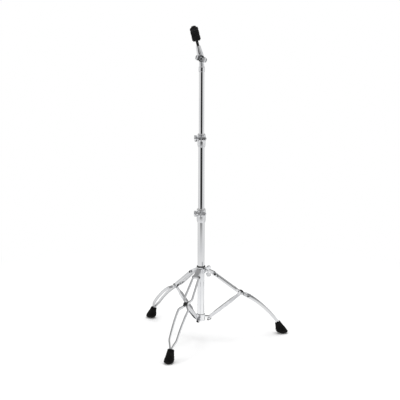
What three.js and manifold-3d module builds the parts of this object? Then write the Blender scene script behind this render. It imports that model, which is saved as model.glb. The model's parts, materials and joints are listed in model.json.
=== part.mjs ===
// Straight cymbal stand: three telescoping tubes on a folding tripod of double-rod legs,
// with a toothed tilter, a felt stack and a wing nut on top.
// Millimetres, +Z up, the floor at z = 0. Leg 1 points along +X, the others follow at thirds of a turn.
import * as THREE from 'three';
import { mergeVertices } from 'three/addons/utils/BufferGeometryUtils.js';
import Module from 'manifold-3d';

const wasm = await Module();
wasm.setup();

// Driving dimensions
const gap = 0.3; // left between pieces that touch
const overrun = 3; // cutters reach this far past what they cut
const baseTubeDiameter = 25.4;
const middleTubeDiameter = 22.2;
const topTubeDiameter = 19.1;
const tubeWall = 1.2;
const baseTubeBottom = 65;
const baseTubeLength = 401;
const middleTubeLength = 404;
const middleTubeInside = 125; // length of the middle tube held in the base tube
const topTubeLength = 400;
const topTubeInside = 140;
const bracePivotRadius = 29;
const bracePivotHeight = 74.8;
const waistRadius = 151.4; // where the brace meets the leg
const waistHeight = 165;
const collarPivotRadius = 50;
const collarPivotHeight = 244;

// Counts and angles
const legCount = 3;
const roundSides = 24;
const smallSides = 12;
const rivetSides = 10;
const fullTurn = 2 * Math.PI;
const halfTurn = Math.PI;
const quarterTurn = Math.PI / 2;
const radians = THREE.MathUtils.degToRad;
const clampFacing = radians(258); // the side that the clamps' slots face
const tilterFacing = radians(-9); // turn of the tilter on the tubes
const tilterLean = radians(14); // lean of the cymbal rod from upright

// Places that follow from the driving dimensions
const baseTubeTop = baseTubeBottom + baseTubeLength;
const middleTubeBottom = baseTubeTop - middleTubeInside;
const middleTubeTop = middleTubeBottom + middleTubeLength;
const topTubeBottom = middleTubeTop - topTubeInside;
const topTubeTop = topTubeBottom + topTubeLength;
const braceLength = Math.hypot(waistRadius - bracePivotRadius, waistHeight - bracePivotHeight);
const braceRise = Math.atan2(waistHeight - bracePivotHeight, waistRadius - bracePivotRadius);
const armLength = Math.hypot(waistRadius - collarPivotRadius, collarPivotHeight - waistHeight);
const armFall = Math.atan2(collarPivotHeight - waistHeight, waistRadius - collarPivotRadius);

// Finishes read from the photograph
const finishes = {
  chrome: { color: 0xdcdee0, roughness: 0.1, metalness: 1 },
  castChrome: { color: 0xcfd1d4, roughness: 0.18, metalness: 1 },
  steel: { color: 0xa9abad, roughness: 0.3, metalness: 1 },
  blackSteel: { color: 0x1b1b1c, roughness: 0.4, metalness: 0.6 },
  nylon: { color: 0x121213, roughness: 0.5, metalness: 0 },
  rubber: { color: 0x161617, roughness: 0.75, metalness: 0 },
  felt: { color: 0x1a1a1b, roughness: 0.95, metalness: 0 },
};

// A closed solid for joining and cutting, from any closed geometry
function solidOf(geometry) {
  const bare = geometry.clone();
  bare.deleteAttribute('normal');
  bare.deleteAttribute('uv');
  const welded = mergeVertices(bare);
  return new wasm.Manifold(new wasm.Mesh({
    numProp: 3,
    vertProperties: Float32Array.from(welded.attributes.position.array),
    triVerts: Uint32Array.from(welded.index.array),
  }));
}

function geometryOf(solid) {
  const mesh = solid.getMesh();
  const geometry = new THREE.BufferGeometry();
  geometry.setAttribute('position', new THREE.BufferAttribute(mesh.vertProperties, 3));
  geometry.setIndex(new THREE.BufferAttribute(mesh.triVerts, 1));
  geometry.computeVertexNormals();
  return geometry;
}

function join(...shapes) {
  return geometryOf(shapes.map(solidOf).reduce((whole, shape) => whole.add(shape)));
}

function cut(shape, ...cutters) {
  return geometryOf(cutters.map(solidOf).reduce((rest, cutter) => rest.subtract(cutter), solidOf(shape)));
}

function common(shape, other) {
  return geometryOf(solidOf(shape).intersect(solidOf(other)));
}

// A solid turned about Z, its outline given as radius and height from the bottom up
function turned(outline, sides = roundSides) {
  const points = outline.map(([radius, height]) => new THREE.Vector2(radius, height));
  return new THREE.LatheGeometry(points, sides).rotateX(quarterTurn);
}

function disc(radius, bottom, top, sides = roundSides) {
  return turned([[0, bottom], [radius, bottom], [radius, top], [0, top]], sides);
}

function ring(inner, outer, bottom, top, sides = roundSides) {
  return turned([[inner, bottom], [outer, bottom], [outer, top], [inner, top], [inner, bottom]], sides);
}

// An outline in X and Y with a thickness along Z, centred
function plate(shape, thickness, curveSegments = 4) {
  const geometry = new THREE.ExtrudeGeometry(shape, { depth: thickness, bevelEnabled: false, curveSegments });
  return geometry.translate(0, 0, -thickness / 2);
}

// The same with the outline in X and Z and the thickness along Y, as a rib that stands on a radius
function uprightPlate(shape, thickness, curveSegments) {
  return plate(shape, thickness, curveSegments).rotateX(quarterTurn);
}

// Lays what was built along Z across Y, its top towards -Y
function acrossY(geometry) {
  return geometry.rotateX(quarterTurn);
}

function outlineOf(points) {
  return new THREE.Shape(points.map(([x, y]) => new THREE.Vector2(x, y)));
}

function roundedRectangle(left, right, bottom, top, corner) {
  const shape = new THREE.Shape();
  shape.moveTo(left + corner, bottom);
  shape.absarc(right - corner, bottom + corner, corner, -quarterTurn, 0);
  shape.absarc(right - corner, top - corner, corner, 0, quarterTurn);
  shape.absarc(left + corner, top - corner, corner, quarterTurn, halfTurn);
  shape.absarc(left + corner, bottom + corner, corner, halfTurn, halfTurn + quarterTurn);
  return shape;
}

// A rivet along Z, centred, with a low domed head at each end of its grip
function rivet(grip, shankRadius, headRadius, headHeight) {
  const half = grip / 2;
  const crownShare = 0.6;
  return turned([
    [0, -half - headHeight],
    [headRadius * crownShare, -half - headHeight],
    [headRadius, -half],
    [shankRadius, -half],
    [shankRadius, half],
    [headRadius, half],
    [headRadius * crownShare, half + headHeight],
    [0, half + headHeight],
  ], rivetSides);
}

function crossHole(radius, halfLength) {
  return acrossY(disc(radius, -halfLength, halfLength, smallSides));
}

// Wing screws: the head's seat is at z = 0, with its hub and two raised ears above it
const wing = {
  hubRadius: 6,
  hubLength: 12,
  span: 44,
  earRoot: 5.5,
  earRise: 6.5,
  earWidth: 7,
  earThickness: 4.6, // at the hub
  earEnd: 20, // across the rounded end of an ear
};
const screwRadius = 4;
const screwHoleRadius = screwRadius + gap;

function wingHead(sizes) {
  const edge = sizes.hubRadius / 6;
  const hub = turned([
    [0, 0],
    [sizes.hubRadius, 0],
    [sizes.hubRadius, sizes.hubLength - edge],
    [sizes.hubRadius - edge, sizes.hubLength],
    [0, sizes.hubLength],
  ], smallSides);
  const tipRadius = sizes.earWidth / 2;
  const tipOut = sizes.span / 2 - tipRadius;
  const tipUp = sizes.earRoot + sizes.earRise;
  const ear = new THREE.Shape();
  ear.moveTo(0, sizes.earRoot);
  ear.lineTo(sizes.hubRadius, sizes.earRoot);
  ear.absarc(tipOut, tipUp, tipRadius, radians(-60), radians(120));
  ear.quadraticCurveTo(sizes.hubRadius + tipRadius, sizes.hubLength - edge, 0, sizes.hubLength - edge);
  const endRadius = sizes.earEnd / 2;
  const endOut = sizes.span / 2 - endRadius;
  const neckHalf = sizes.earThickness / 2;
  const lobe = new THREE.Shape();
  lobe.moveTo(0, -neckHalf);
  lobe.lineTo(sizes.hubRadius, -neckHalf);
  lobe.absarc(endOut, 0, endRadius, radians(-110), radians(110));
  lobe.lineTo(sizes.hubRadius, neckHalf);
  lobe.lineTo(0, neckHalf);
  const right = common(uprightPlate(ear, sizes.earEnd, 4), plate(lobe, 2 * sizes.span));
  const left = right.clone().rotateZ(halfTurn);
  return join(hub, right, left);
}

function wingScrew(shankLength) {
  const lead = screwRadius / 4;
  const shank = turned([
    [0, -shankLength],
    [screwRadius - lead, -shankLength],
    [screwRadius, lead - shankLength],
    [screwRadius, wing.earRoot],
    [0, wing.earRoot],
  ], smallSides);
  return join(wingHead(wing), shank);
}

const nutAcrossFlats = 13;
const nutThickness = 6.5;
const nutSides = 6;

function hexNut() {
  const blank = disc(nutAcrossFlats / Math.sqrt(3), 0, nutThickness, nutSides);
  return cut(blank, disc(screwHoleRadius, -overrun, nutThickness + overrun, smallSides));
}

function addPiece(parent, name, geometry, finish) {
  const mesh = new THREE.Mesh(geometry, new THREE.MeshStandardMaterial(finishes[finish]));
  mesh.name = name;
  parent.add(mesh);
  return mesh;
}

function addGroup(parent, turnAboutZ, height) {
  const group = new THREE.Group();
  group.rotation.z = turnAboutZ;
  group.position.z = height;
  parent.add(group);
  return group;
}

const stand = new THREE.Group();

// Tubes, with a nylon glide plugged into the lower end of each one that slides
const glidePlugLength = 14;
const glideFlange = 4;
const glideWall = 3;

function tube(diameter, length) {
  return ring(diameter / 2 - tubeWall, diameter / 2, 0, length);
}

function glide(diameter) {
  const plugRadius = diameter / 2 - tubeWall - gap;
  const inner = plugRadius - glideWall;
  return turned([
    [inner, -glideFlange - gap],
    [diameter / 2, -glideFlange - gap],
    [diameter / 2, -gap],
    [plugRadius, -gap],
    [plugRadius, glidePlugLength],
    [inner, glidePlugLength],
    [inner, -glideFlange - gap],
  ]);
}

function addSlidingTube(name, diameter, length, bottom) {
  const group = addGroup(stand, 0, bottom);
  addPiece(group, `${name}_glide`, glide(diameter), 'nylon');
  addPiece(group, name, tube(diameter, length), 'chrome');
}

addSlidingTube('middle_tube', middleTubeDiameter, middleTubeLength, middleTubeBottom);
addSlidingTube('top_tube', topTubeDiameter, topTubeLength, topTubeBottom);

// Pivots of the tripod: a flat tongue or eye on each side of a nylon bush, all on one rivet
const pivotPinRadius = 2.5;
const pivotHoleRadius = pivotPinRadius + gap;
const pivotHeadRadius = 4.5;
const pivotHeadHeight = 1.8;
const tongueThickness = 3;
const bushWall = 1.3;
const bushOuter = tongueThickness / 2 + gap + bushWall; // half of a bush's width
const braceHeight = 12;
const braceWidth = 11;
const braceWall = 1.5;
const braceTongue = 24; // from the pivot to where the channel starts to widen
const braceTaper = 14;
const bushHeadWidth = 14.4;
const bushHeadLength = 18;
const bushHeadHeight = 4;
const bushEdge = 1.6;

// A bush straddles the tongue. Its web and head stand off the pivot along +Z,
// and fill the space between the ears.
function bush(pivotEye, headWidth, headLift) {
  const webBottom = pivotEye + gap + headLift;
  const cheek = new THREE.Shape();
  cheek.absarc(0, 0, pivotEye, halfTurn, fullTurn);
  cheek.lineTo(pivotEye, webBottom + bushEdge);
  cheek.lineTo(-pivotEye, webBottom + bushEdge);
  const cheekShift = bushOuter - bushWall / 2;
  const cheeks = [-cheekShift, cheekShift].map((y) => uprightPlate(cheek, bushWall, 5).translate(0, y, 0));
  const head = plate(
    roundedRectangle(-bushHeadLength / 2, bushHeadLength / 2, -headWidth / 2, headWidth / 2, bushEdge),
    bushHeadHeight,
    2,
  ).translate(0, 0, webBottom + bushHeadHeight / 2);
  const crown = new THREE.Shape();
  crown.moveTo(-bushHeadLength / 2, webBottom);
  crown.lineTo(bushHeadLength / 2, webBottom);
  crown.quadraticCurveTo(0, webBottom + 2 * bushHeadHeight - bushEdge, -bushHeadLength / 2, webBottom);
  const domedHead = common(head, uprightPlate(crown, headWidth, 4));
  return cut(join(domedHead, ...cheeks), crossHole(pivotHoleRadius, headWidth));
}

// Base tube and the bracket that carries the braces
const bracketHeight = 27;
const bracketWall = 3;
const bracketTaper = 2;
const bracketBore = baseTubeDiameter / 2 + gap;
const bracketRadius = bracketBore + bracketWall;
const bracketTop = baseTubeBottom + bracketHeight;
const earThickness = 2.6;
const earRadius = 7;
const bracketEarInner = bushOuter + gap;
const bracketRivetDrop = 4.6; // from the bracket's top edge to its rivet
const bracketRivetRadius = 2.5;
const bracketRivetHead = 3.6;
const bracketRivetFacing = radians(60);

function acrossTube(geometry) {
  const laid = geometry.rotateY(quarterTurn).rotateZ(bracketRivetFacing);
  return laid.translate(0, 0, bracketTop - bracketRivetDrop);
}

function bracketRivetHole() {
  const reach = bracketRadius + overrun;
  return acrossTube(disc(bracketRivetRadius + gap, -reach, reach, smallSides));
}

const baseTube = tube(baseTubeDiameter, baseTubeLength).translate(0, 0, baseTubeBottom);
addPiece(stand, 'base_tube', cut(baseTube, bracketRivetHole()), 'chrome');
const bracketRivet = rivet(2 * (bracketRadius + gap), bracketRivetRadius, bracketRivetHead, pivotHeadHeight);
addPiece(stand, 'bracket_rivet', acrossTube(bracketRivet), 'steel');

// A rib from the hub to a round end about a pivot
function lugOutline(hubRadius, hubLow, hubHigh, pivotRadius, pivotHeight, endRadius) {
  const lug = new THREE.Shape();
  const topPoint = tangentAngle(hubRadius - pivotRadius, hubHigh - pivotHeight, endRadius, 1);
  const lowPoint = tangentAngle(hubRadius - pivotRadius, hubLow - pivotHeight, endRadius, -1);
  lug.moveTo(hubRadius, hubLow);
  lug.absarc(pivotRadius, pivotHeight, endRadius, lowPoint, topPoint);
  lug.lineTo(hubRadius, hubHigh);
  return lug;
}

// Direction, from a circle's centre, of the point where a line from (x, z) touches it
function tangentAngle(x, z, radius, side) {
  const away = Math.atan2(z, x);
  return away - side * Math.acos(radius / Math.hypot(x, z));
}

// One copy of a shape for each leg, turned to it
function forEachLeg(shape) {
  return Array.from({ length: legCount }, (_, leg) => shape.clone().rotateZ((leg * fullTurn) / legCount));
}

const bracketEarShift = bracketEarInner + earThickness / 2;
const bracketEarOutline = lugOutline(
  bracketBore,
  bracePivotHeight - earRadius,
  bracketTop - 2 * bracketRivetDrop,
  bracePivotRadius,
  bracePivotHeight,
  earRadius,
);
const bracketEar = uprightPlate(bracketEarOutline, earThickness);
const bracketEars = [-bracketEarShift, bracketEarShift].flatMap((y) => {
  return forEachLeg(bracketEar.clone().translate(0, y, 0));
});
const bracketPinHole = crossHole(pivotHoleRadius, bracketEarShift + earThickness);
bracketPinHole.translate(bracePivotRadius, 0, bracePivotHeight);
const bracketHub = turned([
  [0, baseTubeBottom],
  [bracketRadius, baseTubeBottom],
  [bracketRadius, bracketTop - bracketTaper],
  [bracketRadius - bracketTaper, bracketTop],
  [0, bracketTop],
]);
const bracketCore = disc(bracketBore, baseTubeBottom - overrun, bracketTop + overrun);
addPiece(
  stand,
  'brace_bracket',
  cut(join(bracketHub, ...bracketEars), bracketCore, bracketRivetHole(), ...forEachLeg(bracketPinHole)),
  'castChrome',
);

// Leg collar: a sliding hub with one lug for each leg and a boss for its wing screw
const collarClearance = 0.5; // between the liner and the base tube, which it slides on
const collarLinerWall = 1.2;
const collarWall = 2.3;
const collarRise = 5; // from its lugs' pivots to the collar's bottom
const collarBottom = collarPivotHeight + collarRise;
const collarHeight = 23;
const collarEdge = 1.5;
const collarFlange = 3.5;
const collarFlangeRadius = 15.9;
const collarLugHalfWidth = 9.2;
const collarLugRadius = 7.5;
const collarLugPocketWall = 4;
const collarPinRadius = 3;
const collarPinHead = 4.4;
const bossRadius = 7;
const bossDrop = 8; // from the collar's top to the boss's axis
const bossReach = 28; // from the tube's axis to the boss's face
const collarScrewOut = 5; // thread that shows between the boss and the wings
const collarScrewFacing = radians(-60);
const collarTop = collarBottom + collarHeight;
const collarLinerInner = baseTubeDiameter / 2 + collarClearance;
const collarLinerOuter = collarLinerInner + collarLinerWall;
const collarBore = collarLinerOuter + gap;
const collarRadius = collarBore + collarWall;
const collarMiddle = collarBottom + collarHeight / 2;
const bossHeight = collarTop - bossDrop;

const collarHub = turned([
  [0, collarBottom],
  [collarRadius - collarEdge, collarBottom],
  [collarRadius, collarBottom + collarEdge],
  [collarRadius, collarTop - collarEdge],
  [collarRadius - collarEdge, collarTop],
  [0, collarTop],
]);
const collarLug = uprightPlate(
  lugOutline(
    collarBore,
    collarBottom,
    collarTop - 2 * collarEdge,
    collarPivotRadius,
    collarPivotHeight,
    collarLugRadius,
  ),
  2 * collarLugHalfWidth,
);
const pocketTop = (collarPivotHeight + collarMiddle) / 2;
const pocketEnd = collarPivotRadius - collarLugRadius;
const pocketHeight = pocketTop - collarPivotHeight + 2 * collarLugRadius;
const collarPocket = new THREE.BoxGeometry(
  pocketEnd - collarRadius - collarEdge,
  2 * (collarLugHalfWidth - collarLugPocketWall),
  pocketHeight,
).translate((pocketEnd + collarRadius + collarEdge) / 2, 0, pocketTop - pocketHeight / 2);
const collarPinHole = crossHole(collarPinRadius + gap, collarLugHalfWidth + overrun);
collarPinHole.translate(collarPivotRadius, 0, collarPivotHeight);

// Lays what was built along Z on the line of the wing screw, its seat at the given radius
function alongScrew(geometry, seatRadius) {
  return geometry.rotateY(quarterTurn).translate(seatRadius, 0, bossHeight).rotateZ(collarScrewFacing);
}

const collarBoss = alongScrew(disc(bossRadius, collarBore - bossReach, 0, smallSides), bossReach);
const screwHole = alongScrew(disc(screwHoleRadius, -bossReach, overrun, smallSides), bossReach);
const collarCore = disc(collarBore, collarBottom - overrun, collarTop + overrun);
const collarBody = join(collarHub, ...forEachLeg(collarLug), collarBoss);
const collarCuts = [...forEachLeg(collarPocket), ...forEachLeg(collarPinHole)];
addPiece(stand, 'leg_collar', cut(collarBody, collarCore, screwHole, ...collarCuts), 'castChrome');
addPiece(stand, 'collar_liner', turned([
  [collarLinerInner, collarBottom],
  [collarLinerOuter, collarBottom],
  [collarLinerOuter, collarTop + gap],
  [collarFlangeRadius, collarTop + gap],
  [collarFlangeRadius, collarTop + gap + collarFlange],
  [collarLinerInner, collarTop + gap + collarFlange],
  [collarLinerInner, collarBottom],
]), 'nylon');
const collarScrewLength = bossReach + collarScrewOut - collarLinerOuter - gap;
addPiece(
  stand,
  'collar_wing_screw',
  alongScrew(wingScrew(collarScrewLength), bossReach + collarScrewOut),
  'castChrome',
);

// Legs: each is two rods of flat oval section, bent out to shoulders, nipped in at the waist
// and brought together in the foot.
// They are built in a leg's own frame, X outwards and Z up.
// Stations run along the leg from the collar pivot.
const rodHalfHeight = 5.6;
const rodHalfThickness = 2.9;
const rodSides = 8;
const eyeRadius = 6.5;
const eyeThickness = 4;
const eyeFlat = 8; // an eye stays flat this far from its pivot
const eyeNeck = 8;
const lowerLegEnd = { out: 303, up: 29 }; // where the rods end inside the foot
const kneeFall = radians(16);
const kneeReach = 60;
const ankleFall = radians(70);
const ankleReach = 36;
const topSpread = collarLugHalfWidth + gap + eyeThickness / 2; // half the distance between the rods
const upperShoulderSpread = 15.5;
const waistSpread = bushOuter + gap + eyeThickness / 2;
const lowerShoulderSpread = 19;
const shinSpread = 13.3;
const footSpread = 5;
const upperShoulderBefore = 24; // from the shoulder to the waist pivot
const lowerShoulderAfter = 27;
const bendLength = 5.5; // half the length over which a rod bends
const nipLength = 10; // half the straight length at the waist
const shinBendBefore = 58; // from the last bend to the rods' ends
const footEntryBefore = 27;

const waistPoint = new THREE.Vector2(waistRadius, waistHeight);
const collarPoint = new THREE.Vector2(collarPivotRadius, collarPivotHeight);
const armDirection = waistPoint.clone().sub(collarPoint).normalize();
const rodEndPoint = new THREE.Vector2(lowerLegEnd.out, lowerLegEnd.up);
const kneeDirection = new THREE.Vector2(Math.cos(kneeFall), -Math.sin(kneeFall));
const ankleDirection = new THREE.Vector2(Math.cos(ankleFall), -Math.sin(ankleFall));
const lowerLeg = new THREE.CubicBezierCurve(
  waistPoint,
  waistPoint.clone().addScaledVector(kneeDirection, kneeReach),
  rodEndPoint.clone().addScaledVector(ankleDirection, -ankleReach),
  rodEndPoint,
);
const lowerLegLength = lowerLeg.getLength();
const legLength = armLength + lowerLegLength;

function legPoint(station) {
  if (station <= armLength) return collarPoint.clone().addScaledVector(armDirection, station);
  if (station >= legLength) return rodEndPoint.clone().addScaledVector(ankleDirection, station - legLength);
  return lowerLeg.getPointAt((station - armLength) / lowerLegLength);
}

// Half the distance between the rods: straight runs joined by parabolic bends
const spreads = [
  { at: 0, half: topSpread },
  { at: eyeFlat + eyeNeck, half: topSpread },
  { at: armLength - upperShoulderBefore, half: upperShoulderSpread },
  { at: armLength - nipLength, half: waistSpread },
  { at: armLength + nipLength, half: waistSpread },
  { at: armLength + lowerShoulderAfter, half: lowerShoulderSpread },
  { at: legLength - shinBendBefore, half: shinSpread },
  { at: legLength - footEntryBefore, half: footSpread },
  { at: legLength + bendLength, half: footSpread },
];

function spreadAt(station) {
  let spread = spreads[0].half;
  let slope = 0;
  for (let k = 0; k + 1 < spreads.length; k += 1) {
    const next = (spreads[k + 1].half - spreads[k].half) / (spreads[k + 1].at - spreads[k].at);
    spread += (next - slope) * easedRamp(station - spreads[k].at);
    slope = next;
  }
  return spread;
}

// Zero before a bend and the distance past it after, with a parabola over the bend
function easedRamp(past) {
  if (past <= -bendLength) return 0;
  if (past >= bendLength) return past;
  return (past + bendLength) ** 2 / (4 * bendLength);
}

function rodCentre(station, side) {
  const point = legPoint(station);
  return new THREE.Vector3(point.x, side * spreadAt(station), point.y);
}

// Half-height and half-thickness of a rod: oval, or flat and wider about the two pivot eyes
function rodSection(station) {
  const fromEye = Math.min(Math.abs(station), Math.abs(station - armLength));
  const eyeHalf = Math.sqrt(Math.max(eyeRadius ** 2 - fromEye ** 2, 0));
  const beyondTop = station < 0;
  const flatness = 1 - THREE.MathUtils.smoothstep(fromEye, eyeFlat, eyeFlat + eyeNeck);
  return {
    height: beyondTop ? eyeHalf : Math.max(eyeHalf, rodHalfHeight),
    thickness: THREE.MathUtils.lerp(rodHalfThickness, eyeThickness / 2, flatness),
  };
}

// A solid whose cross-sections are placed ring by ring along a row of stations
function lofted(stations, sides, placePoint) {
  const geometry = new THREE.CylinderGeometry(1, 1, 1, sides, stations.length - 1);
  const cylinderTop = 1 / 2;
  const position = geometry.attributes.position;
  const unit = new THREE.Vector3();
  for (let k = 0; k < position.count; k += 1) {
    unit.fromBufferAttribute(position, k);
    const row = Math.round((cylinderTop - unit.y) * (stations.length - 1));
    const point = placePoint(stations[row], unit.x, unit.z, row);
    position.setXYZ(k, point.x, point.y, point.z);
  }
  return geometry;
}

function legRod(side, stations, clearance) {
  return lofted(stations, rodSides, (station, across, along) => {
    const step = rodHalfHeight;
    const ahead = rodCentre(station + step, side);
    const tangent = ahead.sub(rodCentre(station - step, side)).normalize();
    const normal = new THREE.Vector3(0, 1, 0).cross(tangent).negate().normalize();
    const binormal = tangent.clone().cross(normal);
    const section = rodSection(station);
    const height = section.height + clearance;
    const thickness = section.thickness + clearance;
    const sideways = THREE.MathUtils.clamp(along * height, -thickness, thickness);
    const centre = rodCentre(station, side);
    return centre.addScaledVector(normal, across * height).addScaledVector(binormal, sideways);
  });
}

function spaced(from, to, count) {
  return Array.from({ length: count }, (_, k) => from + ((to - from) * k) / count);
}

const eyeSteps = 4;
const eyeStations = Array.from({ length: eyeSteps }, (_, k) => {
  const endShare = 0.97;
  return -eyeRadius * endShare * Math.cos((halfTurn * k) / eyeSteps);
});
const shoulderStart = armLength - upperShoulderBefore - bendLength;
const shoulderEnd = armLength + lowerShoulderAfter + bendLength;
const shinBendStart = legLength - shinBendBefore - bendLength;
const footEntry = legLength - footEntryBefore;
const rodStations = [
  ...eyeStations,
  eyeRadius,
  ...spaced(eyeFlat, eyeFlat + eyeNeck, 2),
  eyeFlat + eyeNeck + bendLength,
  ...spaced(shoulderStart, shoulderEnd, 12),
  ...spaced(shoulderEnd, shinBendStart, 3),
  ...spaced(shinBendStart, footEntry + bendLength, 4),
  footEntry + bendLength,
  legLength,
];

// Foot: a moulded rubber boot, from a tilted collar round the rods to a level tread
const footTopIn = 9; // from the rods' ends in to the middle of the boot's collar
const footTopUp = 16;
const footBasePast = 11.5; // from the rods' ends out to the middle of the tread
const footTop = { out: lowerLegEnd.out - footTopIn, up: lowerLegEnd.up + footTopUp };
const footBaseOut = lowerLegEnd.out + footBasePast;
const footTopTilt = radians(30);
const footTopHalf = { radial: 10.4, tangential: 12 };
const footBaseHalf = { radial: 23, tangential: 19.5 };
const footSides = 14;
const footGrooveDepth = 0.9;
const footFirstGroove = 4;
const footLastGroove = 9;
// Shares of the way down, and of the growth from the top's size to the base's
const footProfileShares = [
  [0, -0.2], [0.02, 0.02], [0.16, 0.12], [0.34, 0.32],
  [0.39, 0.4], [0.44, 0.48], [0.49, 0.57], [0.54, 0.66], [0.59, 0.74], [0.64, 0.82], [0.69, 0.89],
  [0.78, 0.98], [0.88, 1], [0.96, 0.7], [1, 0.15],
];

function footSolid() {
  return lofted(footProfileShares, footSides, ([down, growth], across, along, row) => {
    const grooved = row >= footFirstGroove && row <= footLastGroove && row % 2 === 0;
    const relief = grooved ? footGrooveDepth : 0;
    const radial = THREE.MathUtils.lerp(footTopHalf.radial, footBaseHalf.radial, growth) - relief;
    const tangential = THREE.MathUtils.lerp(footTopHalf.tangential, footBaseHalf.tangential, growth) - relief;
    const tilt = footTopTilt * (1 - down);
    const out = THREE.MathUtils.lerp(footTop.out, footBaseOut, down);
    const up = footTop.up * (1 - down);
    return new THREE.Vector3(
      out + across * radial * Math.cos(tilt),
      -along * tangential,
      up + across * radial * Math.sin(tilt),
    );
  });
}

const socketStart = footEntry - 2 * bendLength;
const socketStations = rodStations.filter((station) => station > socketStart && station < legLength);
socketStations.push(legLength + gap);
const footGeometry = cut(footSolid(), legRod(-1, socketStations, gap), legRod(1, socketStations, gap));

// The waist bush's head faces square to the leg, between the fall of the arm and of the lower leg
const waistFall = (armFall + kneeFall) / 2;
const waistBend = (armFall - kneeFall) / 2;
const headEnd = bushHeadLength / 2;
const waistHeadLift = headEnd * Math.tan(waistBend) + rodHalfHeight / Math.cos(waistBend) - eyeRadius;

function pinAt(radius, headRadius, halfGrip, out, up) {
  return acrossY(rivet(2 * halfGrip, radius, headRadius, pivotHeadHeight)).translate(out, 0, up);
}

function holeAt(radius, out, up) {
  return crossHole(radius, lowerShoulderSpread + overrun).translate(out, 0, up);
}

// Brace: a strip pressed to a channel, its two ends closed to flat tongues.
// It is built along X from the bracket pivot.
const waistPlay = 0.45; // lets the three legs fold together, though no rhombus joins them
const braceEyeRadius = braceHeight / 2;
const channelStart = braceTongue + braceTaper;

function boatOutline(tip, flare, half, tipHalf) {
  return outlineOf([
    [tip, -tipHalf], [flare, -tipHalf], [channelStart, -half],
    [braceLength - channelStart, -half], [braceLength - flare, -tipHalf], [braceLength - tip, -tipHalf],
    [braceLength - tip, tipHalf], [braceLength - flare, tipHalf], [braceLength - channelStart, half],
    [channelStart, half], [flare, tipHalf], [tip, tipHalf],
  ]);
}

const bracePlanOutline = boatOutline(-braceEyeRadius, braceTongue, braceWidth / 2, tongueThickness / 2);
const bracePlan = plate(bracePlanOutline, braceHeight);
const braceSideOutline = roundedRectangle(
  -braceEyeRadius,
  braceLength + braceEyeRadius,
  -braceEyeRadius,
  braceEyeRadius,
  braceEyeRadius,
);
const braceSide = uprightPlate(braceSideOutline, braceWidth + overrun);
const channelHalf = braceWidth / 2 - braceWall;
const channelTip = channelStart - (braceTaper * channelHalf) / (braceWidth / 2 - tongueThickness / 2);
const braceChannel = plate(outlineOf([
  [channelTip, 0], [channelStart, -channelHalf], [braceLength - channelStart, -channelHalf],
  [braceLength - channelTip, 0], [braceLength - channelStart, channelHalf], [channelStart, channelHalf],
]), braceHeight).translate(0, 0, -braceWall);
const braceHoles = [
  crossHole(pivotHoleRadius, braceWidth),
  crossHole(pivotHoleRadius + waistPlay, braceWidth).translate(braceLength, 0, 0),
];
const braceGeometry = cut(common(bracePlan, braceSide), braceChannel, ...braceHoles)
  .rotateY(-braceRise)
  .translate(bracePivotRadius, 0, bracePivotHeight);
const bracketBushFall = radians(-65);

for (let leg = 0; leg < legCount; leg += 1) {
  const name = `leg_${leg + 1}`;
  const frame = addGroup(stand, (leg * fullTurn) / legCount, 0);
  for (const [side, label] of [[-1, 'right'], [1, 'left']]) {
    const rod = cut(
      legRod(side, rodStations, 0),
      holeAt(collarPinRadius + gap, collarPivotRadius, collarPivotHeight),
      holeAt(pivotHoleRadius, waistRadius, waistHeight),
    );
    addPiece(frame, `${name}_${label}_rod`, rod, 'chrome');
  }
  addPiece(frame, `${name}_foot`, footGeometry.clone(), 'rubber');
  const waistBush = bush(eyeRadius, bushHeadWidth, waistHeadLift).rotateY(waistFall);
  waistBush.translate(waistRadius, 0, waistHeight);
  addPiece(frame, `${name}_waist_bush`, waistBush, 'nylon');
  const waistGrip = waistSpread + eyeThickness / 2 + gap;
  const waistPin = pinAt(pivotPinRadius, pivotHeadRadius, waistGrip, waistRadius, waistHeight);
  addPiece(frame, `${name}_waist_pin`, waistPin, 'steel');
  const topGrip = topSpread + eyeThickness / 2 + gap;
  const topPin = pinAt(collarPinRadius, collarPinHead, topGrip, collarPivotRadius, collarPivotHeight);
  addPiece(frame, `${name}_top_pin`, topPin, 'blackSteel');
  addPiece(frame, `brace_${leg + 1}`, braceGeometry.clone(), 'castChrome');
  const braceBush = bush(eyeRadius, 2 * bushOuter, 0).rotateY(quarterTurn - bracketBushFall);
  braceBush.translate(bracePivotRadius, 0, bracePivotHeight);
  addPiece(frame, `brace_${leg + 1}_bush`, braceBush, 'nylon');
  const bracketGrip = bracketEarInner + earThickness + gap;
  const bracePin = pinAt(pivotPinRadius, pivotHeadRadius, bracketGrip, bracePivotRadius, bracePivotHeight);
  addPiece(frame, `brace_${leg + 1}_pin`, bracePin, 'steel');
}

// Clamps: a sleeve on the outer tube's end, split in front and pinched on a nylon liner
// by a wing screw and a nut. Each is built with its slot facing +X and its foot at z = 0.
const clampSocket = 25; // how far the clamp reaches down the outer tube
const clampWall = 3.2;
const clampTaper = 10;
const clampFootWall = 1.4;
const clampEdge = 1.2;
const slotWidth = 2.6;
const slotDepth = 31;
const lugThickness = 8;
const lugHeight = 22;
const lugReach = 8.5; // from the screw's axis to the lug's outer edge
const lugCorner = 7;
const lugDrop = 1.5; // from the clamp's top to the lugs' top
const linerFlange = 3;
const linerLip = 1.5; // the flange stays this far inside the clamp's edge
const wingRest = radians(17); // how the wings stand in the photograph
const clampScrewTail = 3; // thread that shows past the nut

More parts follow.
